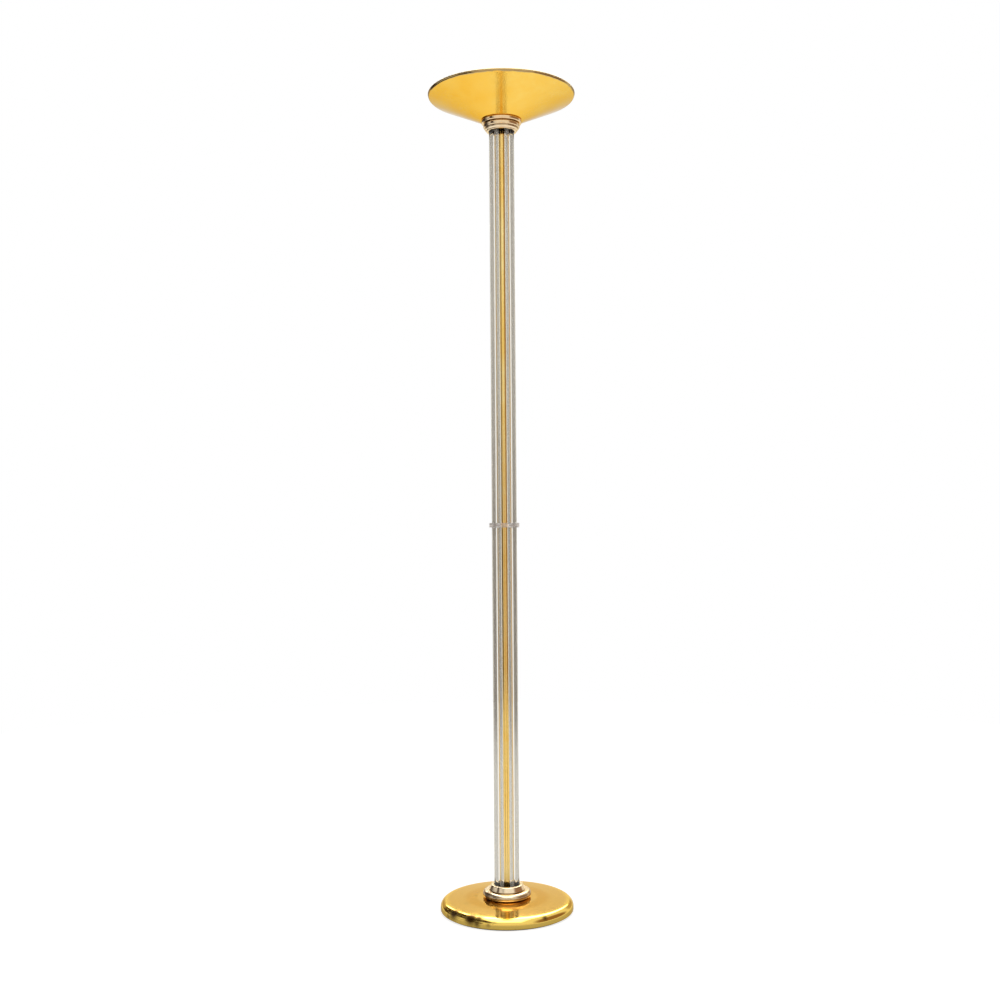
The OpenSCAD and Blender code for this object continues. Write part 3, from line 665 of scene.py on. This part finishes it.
# These spots are painted reflection: dark brown on the left of the ring and cup and darker gold on
# the right, where the brass mirrors dark surroundings.
stained_or_shaded(lower_collar, lower_polish_and_shade, [
    ((-37, -26, 38), 20, 1.15), ((44, -16, 38), 15, 0.9), ((-30, -24, 53), 9, 0.5)])
fitted(lower_collar, "lower_collar")


# ---- Plates, pads and bushes that hold the rods --------------------------------------------------
# A drilled brass plate sits in each cup, dark brown as painted shade in the cup's hollow. A rubber
# pad lies under or over each rod, and threaded bushes and a coupling are soldered into the tube's
# ends.
shaded_plate_brass = brass("shaded_plate_brass", srgb(78, 34, 12), srgb(64, 24, 8), srgb(100, 52, 22), 0.34,
                    spin=0.8, specks=0.4, seed=1.3)
for name in ("lower_rod_plate", "upper_rod_plate", "lower_tube_bush", "upper_tube_bush",
             "tube_coupling"):
    dress(name, shaded_plate_brass)
rubber, r, place = new_finish("rubber")
bloom = r.noise(place, 300, 3.0, 0.6)
surface(r, r.mix(bloom, srgb(24, 24, 24), srgb(54, 53, 50)), 0.7 + 0.2 * bloom, bloom, 0.05 * MM)
for name in ("lower_rod_pads", "upper_rod_pads"):
    dress(name, rubber)


# ---- Middle tube ---------------------------------------------------------------------------------
# Thin drawn brass tube in two lengths that meet inside the clear disc, lacquered gold. It carries
# the dish and hides the wires.
TUBE_R, TUBE_BORE_R = 8, 7
tube_brass = brass("tube_brass", srgb(243, 208, 126), srgb(240, 196, 100), srgb(246, 220, 154),
                   0.08, drawn=0.8, specks=0.10, seed=5.2)
for name in ("lower_tube", "upper_tube"):
    low_z, high_z = (corner.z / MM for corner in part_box(name))
    wall = section([(TUBE_BORE_R, low_z), (TUBE_R, low_z), (TUBE_R, high_z), (TUBE_BORE_R, high_z)])
    tube = turned(name + "_drawn", wall, tube_brass, steps=96)
    fitted(tube, name)


# ---- Clear rods ----------------------------------------------------------------------------------
# Six rods of clear glass stand round the tube below the disc and six above it, drawn and polished,
# with softly rounded ends that sit in the sockets of the plates and the disc.
clear, r, place = new_finish("clear_rod")
streak = r.noise(place, 260, 3.0, 0.6, stretch=(1, 1, 0.02))
smear = r.noise(place, 22, 3.0, 0.6, stretch=(1, 1, 0.25))
surface(r, r.mix(smear, srgb(244, 243, 238), srgb(253, 253, 250)),
        0.01 + 0.05 * smear.rise(0.5, 0.8), streak, 0.01 * MM, Transmission_Weight=0.88, IOR=1.49)


def ring_tree():
    """Copies of a piece that stands on the Z axis, spaced round a circle."""
    tree = bpy.data.node_groups.new("ring_of_rods", "GeometryNodeTree")
    face = tree.interface
    face.new_socket("Rod", in_out="INPUT", socket_type="NodeSocketGeometry")
    count = face.new_socket("Count", in_out="INPUT", socket_type="NodeSocketInt")
    radius = face.new_socket("Circle Radius", in_out="INPUT", socket_type="NodeSocketFloat")
    start = face.new_socket("First Angle", in_out="INPUT", socket_type="NodeSocketFloat")
    finish = face.new_socket("Finish", in_out="INPUT", socket_type="NodeSocketMaterial")
    face.new_socket("Rods", in_out="OUTPUT", socket_type="NodeSocketGeometry")
    new, link = tree.nodes.new, tree.links.new
    given, circle = new("NodeGroupInput"), new("GeometryNodeMeshCircle")
    turn = new("GeometryNodeTransform")
    link(given.outputs["Count"], circle.inputs["Vertices"])
    link(given.outputs["Circle Radius"], circle.inputs["Radius"])
    angle = new("ShaderNodeCombineXYZ")
    link(given.outputs["First Angle"], angle.inputs["Z"])
    link(circle.outputs[0], turn.inputs["Geometry"])
    link(angle.outputs[0], turn.inputs["Rotation"])
    copies, real = new("GeometryNodeInstanceOnPoints"), new("GeometryNodeRealizeInstances")
    coat = new("GeometryNodeSetMaterial")
    link(turn.outputs[0], copies.inputs["Points"])
    link(given.outputs["Rod"], copies.inputs["Instance"])
    link(copies.outputs[0], real.inputs[0])
    link(real.outputs[0], coat.inputs["Geometry"])
    link(given.outputs["Finish"], coat.inputs["Material"])
    link(coat.outputs[0], new("NodeGroupOutput").inputs["Rods"])
    return tree, [s.identifier for s in (count, radius, start, finish)]


RING, RING_KEYS = ring_tree()
ROD_R, ROD_RING_R, ROD_COUNT, FIRST_ROD_DEG = 5.0, 22.5, 6, -60
for level in ("lower", "upper"):
    low_z, high_z = (corner.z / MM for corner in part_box(level + "_rod_1"))
    half = section([(0, low_z, 0), (ROD_R, low_z, 0.7), (ROD_R, high_z, 0.7), (0, high_z, 0)],
                   closed=False)
    rod = turned(level + "_rod", half, clear, steps=48)
    ring = settled(level + "_rods", rod.data, RING, dict(zip(
        RING_KEYS, (ROD_COUNT, ROD_RING_R * MM, math.radians(FIRST_ROD_DEG), clear))))
    bpy.data.objects.remove(rod)
    tidy_faces(ring.data)
    fitted(ring, [f"{level}_rod_{i + 1}" for i in range(ROD_COUNT)])


# ---- Clear disc ----------------------------------------------------------------------------------
# A ground and polished disc of the same clear glass, bored for the tube and blind-bored on both
# faces for the rods' ends. It keeps the long rods evenly apart.
disc_finish, r, place = new_finish("clear_disc")
haze = r.noise(place, 140, 3.0, 0.6)
surface(r, r.mix(haze, srgb(250, 242, 240), srgb(255, 250, 248)), 0.03 + 0.07 * haze, haze,
        0.02 * MM, Transmission_Weight=0.80, IOR=1.49)
DISC_R, DISC_BORE_R, SOCKET_R, SOCKET_DEPTH = 33, 8.1, 5.2, 4.0
low_z, high_z = (corner.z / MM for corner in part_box("spacer_disc"))
slab = section([(DISC_BORE_R, low_z, 0.2), (DISC_R, low_z, 0.8), (DISC_R, high_z, 0.8),
                (DISC_BORE_R, high_z, 0.2)])
disc = turned("clear_disc", slab, disc_finish, steps=160)
sockets = []
for i in range(ROD_COUNT):
    turn = math.radians(FIRST_ROD_DEG + 360 / ROD_COUNT * i)
    sockets += [Matrix.Translation((ROD_RING_R * MM * math.cos(turn),
                                    ROD_RING_R * MM * math.sin(turn), z * MM))
                for z in (low_z, high_z)]
cut(disc, drills("borer", SOCKET_R, 2 * SOCKET_DEPTH, sockets))
fitted(disc, "spacer_disc")


# ---- Upper collar --------------------------------------------------------------------------------
# Turned from brass bar: two rounded rings with grooves between them and a narrow lip, bored out
# below for the rods. It is clamped under the dish.
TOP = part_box("upper_collar")[1].z / MM
BIG_R, SMALL_R, RING_ROUND, GROOVE_R, ROOF = 44.3, 40, 2.5, 36, TOP - 4
BIG_LOW, SMALL_HIGH, SMALL_LOW = TOP - 8, TOP - 9.5, TOP - 17.5
CUP_HIGH, CUP_WAIST, CUP_LOW = TOP - 20.5, TOP - 23.5, TOP - 25.5
high = section([(BORE, TOP), (BIG_R, TOP, RING_ROUND), (BIG_R, BIG_LOW, RING_ROUND),
                (GROOVE_R, BIG_LOW, 0.3), (GROOVE_R, SMALL_HIGH, 0.3),
                (SMALL_R, SMALL_HIGH, RING_ROUND), (SMALL_R, SMALL_LOW, RING_ROUND),
                (GROOVE_R, SMALL_LOW, 0.3), (GROOVE_R, CUP_HIGH, 0.3), (37, CUP_HIGH, 0.3),
                (33.5, CUP_WAIST, 0.8), (33.2, CUP_LOW, 1.4), (WELL_R, CUP_LOW, 0.6),
                (WELL_R, ROOF, 0.3), (BORE, ROOF)])
upper_collar = turned("upper_collar_turned", high, collar_brass)


def upper_polish_and_shade(rho, z):
    """Painted shade, with old polish, in the well down to its lip, and less of it in both grooves.
    """
    if rho < WELL_R + 0.3 and z > CUP_LOW + 0.7:
        return 1.0
    grooved = CUP_HIGH - 0.1 < z < SMALL_LOW + 0.1 or SMALL_HIGH - 0.1 < z < BIG_LOW + 0.1
    return 0.45 if grooved and rho < GROOVE_R + 1.6 else 0.0


# These spots are painted reflection: dark brown on the left of both rings and darker gold on the
# right, where the brass mirrors dark surroundings.
stained_or_shaded(upper_collar, upper_polish_and_shade, [
    ((-37, -23, TOP - 5), 15, 0.9), ((-33, -20, TOP - 15), 13, 1.1), ((40, -18, TOP - 16), 9, 0.6)])
fitted(upper_collar, "upper_collar")


# ---- Dish ----------------------------------------------------------------------------------------
# Sheet brass spun into a shallow cone with a flat floor, the rim rolled over into a bead. It throws
# the light up, and its polished outside mirrors the column.
DISH_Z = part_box("dish")[0].z / MM
DISH_WALL, DISH_FLOOR_R, BEND_R, SHOULDER_R = 1.4, 46.0, 6.0, 4.0
WALL_X, SHOULDER_Z, BEAD_R, BEAD_X, BEAD_Z = 160.9, 54.0, 1.8, 159.7, 55.8
run, climb = WALL_X - SHOULDER_R - DISH_FLOOR_R, SHOULDER_Z - BEND_R
cone = math.degrees(math.atan2(climb, run)
                    - math.asin((SHOULDER_R - BEND_R) / math.hypot(run, climb)))


def dish_line(inset):
    """The dish's outside from the bore up to its shoulder, set in by a distance."""
    floor_run = [(BORE, inset), (DISH_FLOOR_R - 1.0, inset)]
    bend = arc(DISH_FLOOR_R, BEND_R, BEND_R - inset, -90, cone - 90, 8)
    shoulder = arc(WALL_X - SHOULDER_R, SHOULDER_Z, SHOULDER_R - inset, cone - 90, 0, 10)
    (x0, z0), (x1, z1) = bend[-1], shoulder[0]
    between = [(x0 + (x1 - x0) * t, z0 + (z1 - z0) * t) for t in (0.01, 0.25, 0.5, 0.75, 0.99)]
    return floor_run + bend + between + shoulder


ROLLED_FROM, ROLLED_TO = -48, 264
bead = arc(BEAD_X, BEAD_Z, BEAD_R, ROLLED_FROM, ROLLED_TO, 28)
loop = dish_line(0) + bead + dish_line(DISH_WALL)[::-1] + [(BORE, 0)]
# The band on the rolled bead is painted shade: a duller brown-grey ring along the rim.
dish_brass = brass("dish_brass", srgb(252, 200, 74), srgb(250, 190, 52), srgb(253, 210, 98), 0.08,
                   spin=0.22, specks=0.06, seed=9.4, bands=[(158.8, 160.4, srgb(192, 166, 112))],
                   tint=(0.72, 0.66, 0.48))
dish = turned("dish_spun", [(x, z + DISH_Z) for x, z in loop], dish_brass, steps=320)
fitted(dish, "dish")


# ---- Washer and nut in the dish ------------------------------------------------------------------
# A turned brass washer spreads the clamping over the dish's floor, under a hexagonal nut with
# chamfered corners.
holder_brass = brass("holder_brass", srgb(226, 184, 104), srgb(214, 164, 78), srgb(234, 200, 134),
                     0.18, spin=0.4, specks=0.12, seed=2.6)


def foot_of(node):
    """The height of a node's lowest point, in millimetres."""
    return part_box(node)[0].z / MM


def raised(points, height):
    """Points of a section, lifted by a height."""
    return [(point[0], point[1] + height, *point[2:]) for point in points]


WASHER_R, WASHER_T = 18, 1.5
washer = section([(BORE, 0, 0.2), (WASHER_R, 0, 0.3), (WASHER_R, WASHER_T, 0.4),
                  (BORE, WASHER_T, 0.2)])
fitted(turned("washer_under_holder", raised(washer, foot_of("dish_washer")), holder_brass,
              steps=96), "dish_washer")
NUT_AF, NUT_T, CHAMFER_R, CHAMFER_H = 17.0, 5.0, 8.7, 0.65
nut_corner = NUT_AF / 2 / math.cos(math.radians(30))
past, lead_in = nut_corner + 0.1, BORE + 0.4
blank = [(lead_in, 0), (CHAMFER_R, 0), (past, CHAMFER_H), (past, NUT_T - CHAMFER_H),
         (CHAMFER_R, NUT_T), (lead_in, NUT_T), (BORE, NUT_T - 0.4), (BORE, 0.4), (lead_in, 0)]
nut_z = foot_of("dish_nut")
nut = turned("nut_under_holder", raised(blank, nut_z), holder_brass, steps=96)
cut(nut, drills("prism", nut_corner, 2 * NUT_T, [Matrix.Translation(
    (0, 0, (nut_z + NUT_T / 2) * MM)) @ Matrix.Rotation(math.radians(30), 4, "Z")], steps=6),
    "INTERSECT")
fitted(nut, "dish_nut")


# ---- Lampholder cap and skirt --------------------------------------------------------------------
# Pressed sheet brass: a cup with a neck that screws onto the pipe, and a sleeve over it whose
# mouth is rolled out. A shallow groove is rolled into each for grip.
cap_z, skirt_z = foot_of("holder_cap"), foot_of("holder_skirt")
SLEEVE_R, SLEEVE_BORE_R, HOLDER_WALL = 20, 18.8, 1.2
CUP_X, CUP_BEND_Z, CUP_BEND_R, PIPE_NECK_R = 12, 16, 8, 8
cap = ([(BORE, 0), (7.6, 0), (PIPE_NECK_R, 0.4), (PIPE_NECK_R, 7.7), (8.3, 8), (11.9, 8)]
       + arc(CUP_X, CUP_BEND_Z, CUP_BEND_R, -90, 0, 14)
       + [(SLEEVE_R, 16.9), (19.6, 17.3), (19.6, 17.8), (SLEEVE_R, 18.2), (SLEEVE_R, 19.8),
          (19.8, 20), (19, 20), (SLEEVE_BORE_R, 19.8)]
       + arc(CUP_X, CUP_BEND_Z, CUP_BEND_R - HOLDER_WALL, 0, -90, 12)
       + [(11.5, 9.2), (BORE, 9.2), (BORE, 0)])
fitted(turned("holder_cap_pressed", raised(cap, cap_z), holder_brass, steps=128), "holder_cap")
ROLL_R, ROLL_X, ROLL_Z = 1.2, 19.4, 20.2
skirt = ([(SLEEVE_BORE_R, 0.2), (19, 0), (19.8, 0), (SLEEVE_R, 0.2), (SLEEVE_R, 3), (19.6, 3.4),
          (19.6, 3.9), (SLEEVE_R, 4.3), (SLEEVE_R, 15.5), (19.7, 15.8), (19.7, 16.3),
          (SLEEVE_R, 16.6), (SLEEVE_R, 18.6)]
         + arc(ROLL_X, ROLL_Z, ROLL_R, -60, 240, 28)
         + [(SLEEVE_BORE_R, 18.6), (SLEEVE_BORE_R, 0.2)])
fitted(turned("holder_skirt_rolled", raised(skirt, skirt_z), holder_brass, steps=128),
       "holder_skirt")


# ---- Porcelain insert ----------------------------------------------------------------------------
# Glazed white porcelain that keeps the live parts apart: a thick cup with a well for the contact
# and a hole for the wires.
porcelain, r, place = new_finish("porcelain")
glaze = r.noise(place, 90, 3.0, 0.6)
pits = r.noise(place, 900, 2.0, 0.5).rise(0.70, 0.78)
surface(r, r.mix(pits * 0.5, r.mix(glaze, srgb(232, 229, 220), srgb(246, 244, 238)),
                 srgb(150, 140, 124)), 0.10 + 0.1 * glaze, glaze - 0.4 * pits, 0.1 * MM)
WIRE_HOLE_R, CONTACT_WELL_R, SEAT_Z = 3.5, 7, 8
insert = ([(WIRE_HOLE_R, 0), (10.4, 0)] + arc(10.5, SEAT_Z, 8, -90, 0, 14) + [(18.5, 27)]
          + arc(17.7, 27.2, 0.8, 0, 90, 5) + arc(14.85, 27.4, 0.6, 90, 180, 5)
          + [(14.25, 27.1), (14.25, 8.3), (13.95, SEAT_Z), (7.4, SEAT_Z), (CONTACT_WELL_R, 7.6),
             (CONTACT_WELL_R, 3), (WIRE_HOLE_R, 3), (WIRE_HOLE_R, 0)])
fitted(turned("porcelain_insert", raised(insert, foot_of("holder_insert")), porcelain, steps=128),
       "holder_insert")


# ---- Screw shell and contact ---------------------------------------------------------------------
# Thin brass rolled to a round thread takes the bulb, and a sprung strip riveted in the well lifts
# to meet its tip. The strip's foot is fixed, and its leaf gives way to the bulb.
THREAD_PITCH, THREAD_STEP, RUN_OUT = 3.629, 0.4, 1.6


def threaded(radius, low, high):
    """Points up a threaded wall, with the thread running out at both ends."""
    count = round((high - low) / THREAD_STEP)
    points = []
    for i in range(count + 1):
        z = low + (high - low) * i / count
        points.append((radius, z, max(0.0, min(1.0, (z - low) / RUN_OUT, (high - z) / RUN_OUT))))
    return points


SCREW_R, SCREW_BORE_R, THREAD_FROM, THREAD_TO = 13.8, 13.5, 1.0, 20.6
screw_wall = ([(CONTACT_WELL_R, 0), (13.3, 0), (13.65, 0.1), (SCREW_R, 0.4)]
              + threaded(SCREW_R, THREAD_FROM, THREAD_TO)
              + [(SCREW_R, 21.8), (13.65, 22), (SCREW_BORE_R, 21.8)]
              + threaded(SCREW_BORE_R, THREAD_FROM, THREAD_TO)[::-1]
              + [(13.4, 0.7), (13.2, 0.6), (CONTACT_WELL_R, 0.6), (CONTACT_WELL_R, 0)])
fitted(turned("screw_shell_rolled", raised(screw_wall, foot_of("screw_shell")), holder_brass,
              steps=96, pitch=THREAD_PITCH, depth=0.15), "screw_shell")


def strip(name, outline, width, finish):
    """Sheet metal seen from the side as (x, z) in millimetres, with its edges eased."""
    work = bmesh.new()
    side = work.faces.new([work.verts.new((x * MM, -width / 2 * MM, z * MM)) for x, z in outline])
    grown = bmesh.ops.extrude_face_region(work, geom=[side])["geom"]
    bmesh.ops.translate(work, verts=[v for v in grown if isinstance(v, bmesh.types.BMVert)],
                        vec=(0, width * MM, 0))
    rims = [e for e in work.edges if abs(e.verts[0].co.y - e.verts[1].co.y) < TOUCHING]
    bmesh.ops.bevel(work, geom=rims, offset=STRIP_EASED * MM, segments=2, affect="EDGES")
    mesh = bpy.data.meshes.new(name)
    work.to_mesh(mesh)
    work.free()
    mesh.materials.append(finish)
    piece = bpy.data.objects.new(name, mesh)
    scene.collection.objects.link(piece)
    tidy_faces(mesh)
    return piece


spring_brass = brass("spring_brass", srgb(222, 174, 96), srgb(206, 146, 70), srgb(232, 196, 128),
                     0.24, drawn=0.6, specks=0.1, seed=4.2)
STRIP_W, STRIP_T, STRIP_EASED, HEEL_X, TOE_X = 4, 0.5, 0.08, -5.6, 2.4
well_z, heel_z = foot_of("contact_foot"), foot_of("contact_leaf")
foot_strip = section([(HEEL_X, 0), (TOE_X, 0), (TOE_X, STRIP_T), (HEEL_X, STRIP_T)])[:-1]
fitted(strip("contact_strip_foot", raised(foot_strip, well_z), STRIP_W, spring_brass),
       "contact_foot")
leaf = section([(HEEL_X, 0, 0.1), (-5.1, 0, 0.1), (-1.25, 5.2, 0.8), (1.5, 5.2, 0.12),
                (1.5, 5.7, 0.12), (-1.5, 5.7, 1.2), (HEEL_X, STRIP_T, 0.1)])[:-1]
fitted(strip("contact_strip_leaf", raised(leaf, heel_z), STRIP_W, spring_brass), "contact_leaf",
       "contact")


# ---- Bulb ----------------------------------------------------------------------------------------
# A small opal globe: blown glass with a white coat, cemented into a nickel-plated screw cap, with
# a black glass insulator and a soldered tip.
nickel, r, place = new_finish("nickel_cap")
plate = r.noise(place, 300, 3.0, 0.6)
rub = r.noise(place, 60, 2.0, 0.5, stretch=(1, 1, 4))
surface(r, r.mix(plate, srgb(176, 174, 168), srgb(206, 204, 198)), 0.18 + 0.12 * plate + 0.10 * rub,
        plate, 0.03 * MM, Metallic=1.0)
solder = [(0, 0), (1.2, 0.03), (2.4, 0.15), (3.5, 0.42), (4.2, 0.8), (4.5, 1.1), (4.4, 1.2),
          (0, 1.2)]
fitted(turned("solder_tip", raised(solder, foot_of("bulb_tip")), nickel, steps=48), "bulb_tip",
       "bulb")
black_glass, r, place = new_finish("black_glass")
flow = r.noise(place, 200, 3.0, 0.6)
surface(r, r.mix(flow, srgb(12, 12, 14), srgb(26, 26, 30)), 0.08 + 0.08 * flow, flow, 0.05 * MM)
glass_foot = [(0, 0), (4.2, 0), (4.6, 0.2), (6.0, 1.0), (7.8, 2.0), (9.7, 3.0), (11.3, 3.75),
              (11.7, 4), (0, 4)]
fitted(turned("glass_insulator", raised(glass_foot, foot_of("bulb_insulator")), black_glass,
              steps=64), "bulb_insulator", "bulb")
bulb_screw = ([(11.95, 0.2), (12.1, 0), (12.4, 0), (12.65, 0.3)] + threaded(12.7, 1.0, 14.4)
              + [(12.75, 15.2), (13, 15.9), (13.05, 17.5), (12.9, 17.9), (12.6, 18), (12.1, 18),
                 (11.95, 17.8), (11.95, 0.2)])
fitted(turned("screw_cap", raised(bulb_screw, foot_of("bulb_cap")), nickel, steps=96,
              pitch=THREAD_PITCH, depth=0.4), "bulb_cap", "bulb")
opal, r, place = new_finish("opal_glass")
coat = r.noise(place, 60, 3.0, 0.6)
surface(r, r.mix(coat, srgb(240, 239, 234), srgb(250, 249, 246)), 0.08 + 0.08 * coat, coat,
        0.02 * MM, Subsurface_Weight=0.2, Subsurface_Scale=4 * MM)
BALL_R, BALL_Z, STEM_R, FILLET_R = 22.5, 39.0, 11.9, 4.0
rise_z = math.sqrt((BALL_R + FILLET_R) ** 2 - (STEM_R + FILLET_R) ** 2)
turn = math.degrees(math.atan2(rise_z, STEM_R + FILLET_R))
globe = ([(0, 0), (11.5, 0), (STEM_R, 0.4), (STEM_R, 8), (STEM_R, 17)]
         + arc(STEM_R + FILLET_R, BALL_Z - rise_z, FILLET_R, 180, 180 - turn, 8)
         + arc(0, BALL_Z, BALL_R, -turn, 90, 44)[1:])
fitted(turned("opal_globe", raised(globe, foot_of("bulb_glass")), opal, steps=128), "bulb_glass",
       "bulb")
